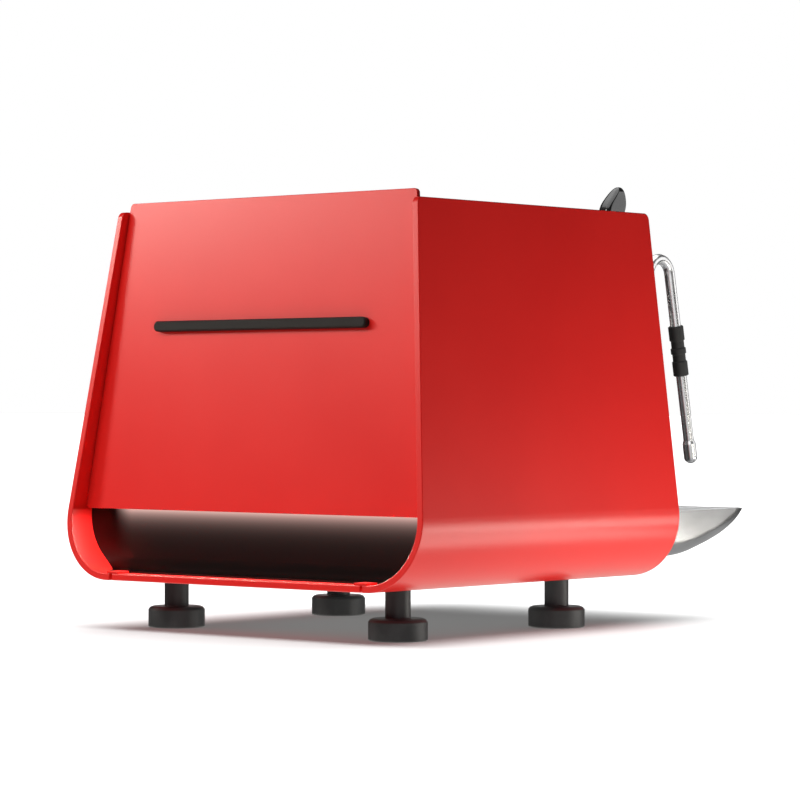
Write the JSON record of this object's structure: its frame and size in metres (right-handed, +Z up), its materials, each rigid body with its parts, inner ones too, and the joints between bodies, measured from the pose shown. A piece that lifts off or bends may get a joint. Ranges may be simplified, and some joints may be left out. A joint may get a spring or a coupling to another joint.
{
  "type": "espresso machine",
  "caption": "Single-group espresso machine with slanted bent-sheet side panels, flat rear panel, drip tray, steam wand, lever and levelling feet.",
  "frame": {"origin": "middle of the footprint, on the surface that the feet stand on", "axes": "+Z up, -Y towards the person using it, +Y to the rear, +X to the user's right"},
  "size_m": [0.41, 0.5258, 0.3906],
  "materials": {
    "red_paint": "satin red powder coat",
    "black_trim": "satin black",
    "dark_sheet": "satin black coated sheet",
    "foot_black": "moulded black rubber",
    "polished_steel": "polished stainless steel",
    "brushed_steel": "brushed stainless steel",
    "zinc_sheet": "plain zinc coated sheet",
    "gloss_black": "polished black",
    "panel_glass": "black glass look",
    "screen": "lit display",
    "grip_rubber": "soft black rubber",
    "seal_rubber": "seal rubber",
    "copper_brass": "plain brass",
    "cast_grey": "as cast",
    "white_plastic": "diffuser"
  },
  "bodies": {
    "machine": {"backsplash": "brushed_steel", "base_plate": "zinc_sheet", "boiler_stand": "zinc_sheet", "bulkhead_front": "zinc_sheet", "bulkhead_rear": "zinc_sheet", "coffee_boiler": "brushed_steel", "control_box": "black_trim", "control_panel": "panel_glass", "cup_tray": "brushed_steel", "display_screen": "screen", "foot_nuts": "zinc_sheet", "group_body": "copper_brass", "group_bracket": "zinc_sheet", "group_collar": "polished_steel", "group_gasket": "seal_rubber", "head_housing": "black_trim", "lever_bezel": "black_trim", "lever_pin": "brushed_steel", "power_inlet": "black_trim", "pump_head": "copper_brass", "pump_motor": "cast_grey", "rear_light_strip": "white_plastic", "rear_panel": "red_paint", "rear_rail": "red_paint", "recess_cover": "dark_sheet", "shower_screen": "brushed_steel", "side_panel_left": "red_paint", "side_panel_right": "red_paint", "splice_plates": "red_paint", "steam_boiler": "brushed_steel", "steam_valve": "copper_brass", "top_rails": "zinc_sheet", "trim_bar": "black_trim", "wand_nut": "polished_steel", "wand_socket": "polished_steel", "water_fittings": "copper_brass", "water_nut": "polished_steel"},
    "drip_tray": {"drip_tray": "polished_steel"},
    "drip_grate": {"drip_grate": "brushed_steel"},
    "cup_grid": {"cup_grid": "brushed_steel"},
    "portafilter": {"portafilter_body": "polished_steel", "portafilter_handle": "gloss_black", "portafilter_spout": "polished_steel", "filter_basket": "polished_steel"},
    "steam_lever": {"steam_lever": "gloss_black"},
    "steam_valve_stem": {"steam_valve_stem": "brushed_steel"},
    "wand_seat": {"wand_seat": "white_plastic"},
    "wand": {"wand_pipe": "polished_steel", "wand_grip": "grip_rubber", "wand_tip": "polished_steel"},
    "water_spout": {"water_spout": "polished_steel"},
    "pump_shaft": {"pump_shaft": "brushed_steel"},
    "power_switch": {"power_switch": "gloss_black"},
    "brew_button_1": {"brew_button_1": "polished_steel"},
    "brew_button_2": {"brew_button_2": "polished_steel"},
    "brew_button_3": {"brew_button_3": "polished_steel"},
    "foot_front_left": {"foot_front_left": "foot_black"},
    "foot_front_right": {"foot_front_right": "foot_black"},
    "foot_rear_left": {"foot_rear_left": "foot_black"},
    "foot_rear_right": {"foot_rear_right": "foot_black"}
  },
  "joints": [
    {"name": "drip_tray_slide", "type": "slide", "parent": "machine", "child": "drip_tray", "axis": [0, -1, 0], "range_m": [0, 0.25]},
    {"name": "drip_grate_lift", "type": "slide", "parent": "drip_tray", "child": "drip_grate", "axis": [0, 0, 1], "range_m": [0, 0.03]},
    {"name": "cup_grid_lift", "type": "slide", "parent": "machine", "child": "cup_grid", "axis": [0, 0, 1], "range_m": [0, 0.06]},
    {"name": "portafilter_turn", "type": "hinge", "parent": "machine", "child": "portafilter", "pos_m": [0, -0.042, 0.24], "axis": [0, 0, 1], "range_deg": [-40, 0]},
    {"name": "steam_lever_tilt", "type": "hinge", "parent": "machine", "child": "steam_lever", "pos_m": [-0.146, -0.072, 0.338], "axis": [1, 0, 0], "range_deg": [0, 22]},
    {"name": "steam_valve_lift", "type": "slide", "parent": "machine", "child": "steam_valve_stem", "axis": [0, 0, 1], "range_m": [-0.0015, 0]},
    {"name": "wand_swing", "type": "hinge", "parent": "machine", "child": "wand_seat", "pos_m": [-0.16, -0.1023, 0.2905], "axis": [0, 0, 1], "range_deg": [-30, 30]},
    {"name": "wand_tilt", "type": "hinge", "parent": "wand_seat", "child": "wand", "pos_m": [-0.16, -0.1023, 0.2905], "axis": [1, 0, 0], "range_deg": [-15, 8]},
    {"name": "water_spout_swing", "type": "hinge", "parent": "machine", "child": "water_spout", "pos_m": [0.15, -0.072, 0.25], "axis": [0, 0, 1], "range_deg": [-45, 30]},
    {"name": "power_switch_rock", "type": "hinge", "parent": "machine", "child": "power_switch", "pos_m": [0.148, -0.0875, 0.312], "axis": [1, 0, 0], "range_deg": [-6, 6]},
    {"name": "pump_shaft_spin", "type": "hinge", "parent": "machine", "child": "pump_shaft", "pos_m": [0, 0.11, 0.11], "axis": [1, 0, 0], "continuous": true},
    {"name": "brew_button_1_press", "type": "slide", "parent": "machine", "child": "brew_button_1", "axis": [0, 1, 0], "range_m": [0, 0.0015], "stiffness_N_per_m": 400},
    {"name": "brew_button_2_press", "type": "slide", "parent": "machine", "child": "brew_button_2", "axis": [0, 1, 0], "range_m": [0, 0.0015], "stiffness_N_per_m": 400},
    {"name": "brew_button_3_press", "type": "slide", "parent": "machine", "child": "brew_button_3", "axis": [0, 1, 0], "range_m": [0, 0.0015], "stiffness_N_per_m": 400},
    {"name": "foot_front_left_turn", "type": "hinge", "parent": "machine", "child": "foot_front_left", "pos_m": [-0.1283, -0.0196, 0.02], "axis": [0, 0, 1], "continuous": true},
    {"name": "foot_front_right_turn", "type": "hinge", "parent": "machine", "child": "foot_front_right", "pos_m": [0.1283, -0.0196, 0.02], "axis": [0, 0, 1], "continuous": true},
    {"name": "foot_rear_left_turn", "type": "hinge", "parent": "machine", "child": "foot_rear_left", "pos_m": [-0.1283, 0.1964, 0.02], "axis": [0, 0, 1], "continuous": true},
    {"name": "foot_rear_right_turn", "type": "hinge", "parent": "machine", "child": "foot_rear_right", "pos_m": [0.1283, 0.1964, 0.02], "axis": [0, 0, 1], "continuous": true}
  ],
  "couplings": [
    {"joint": "steam_valve_lift", "follows": "steam_lever_tilt", "m_per_rad": -0.0038}
  ]
}
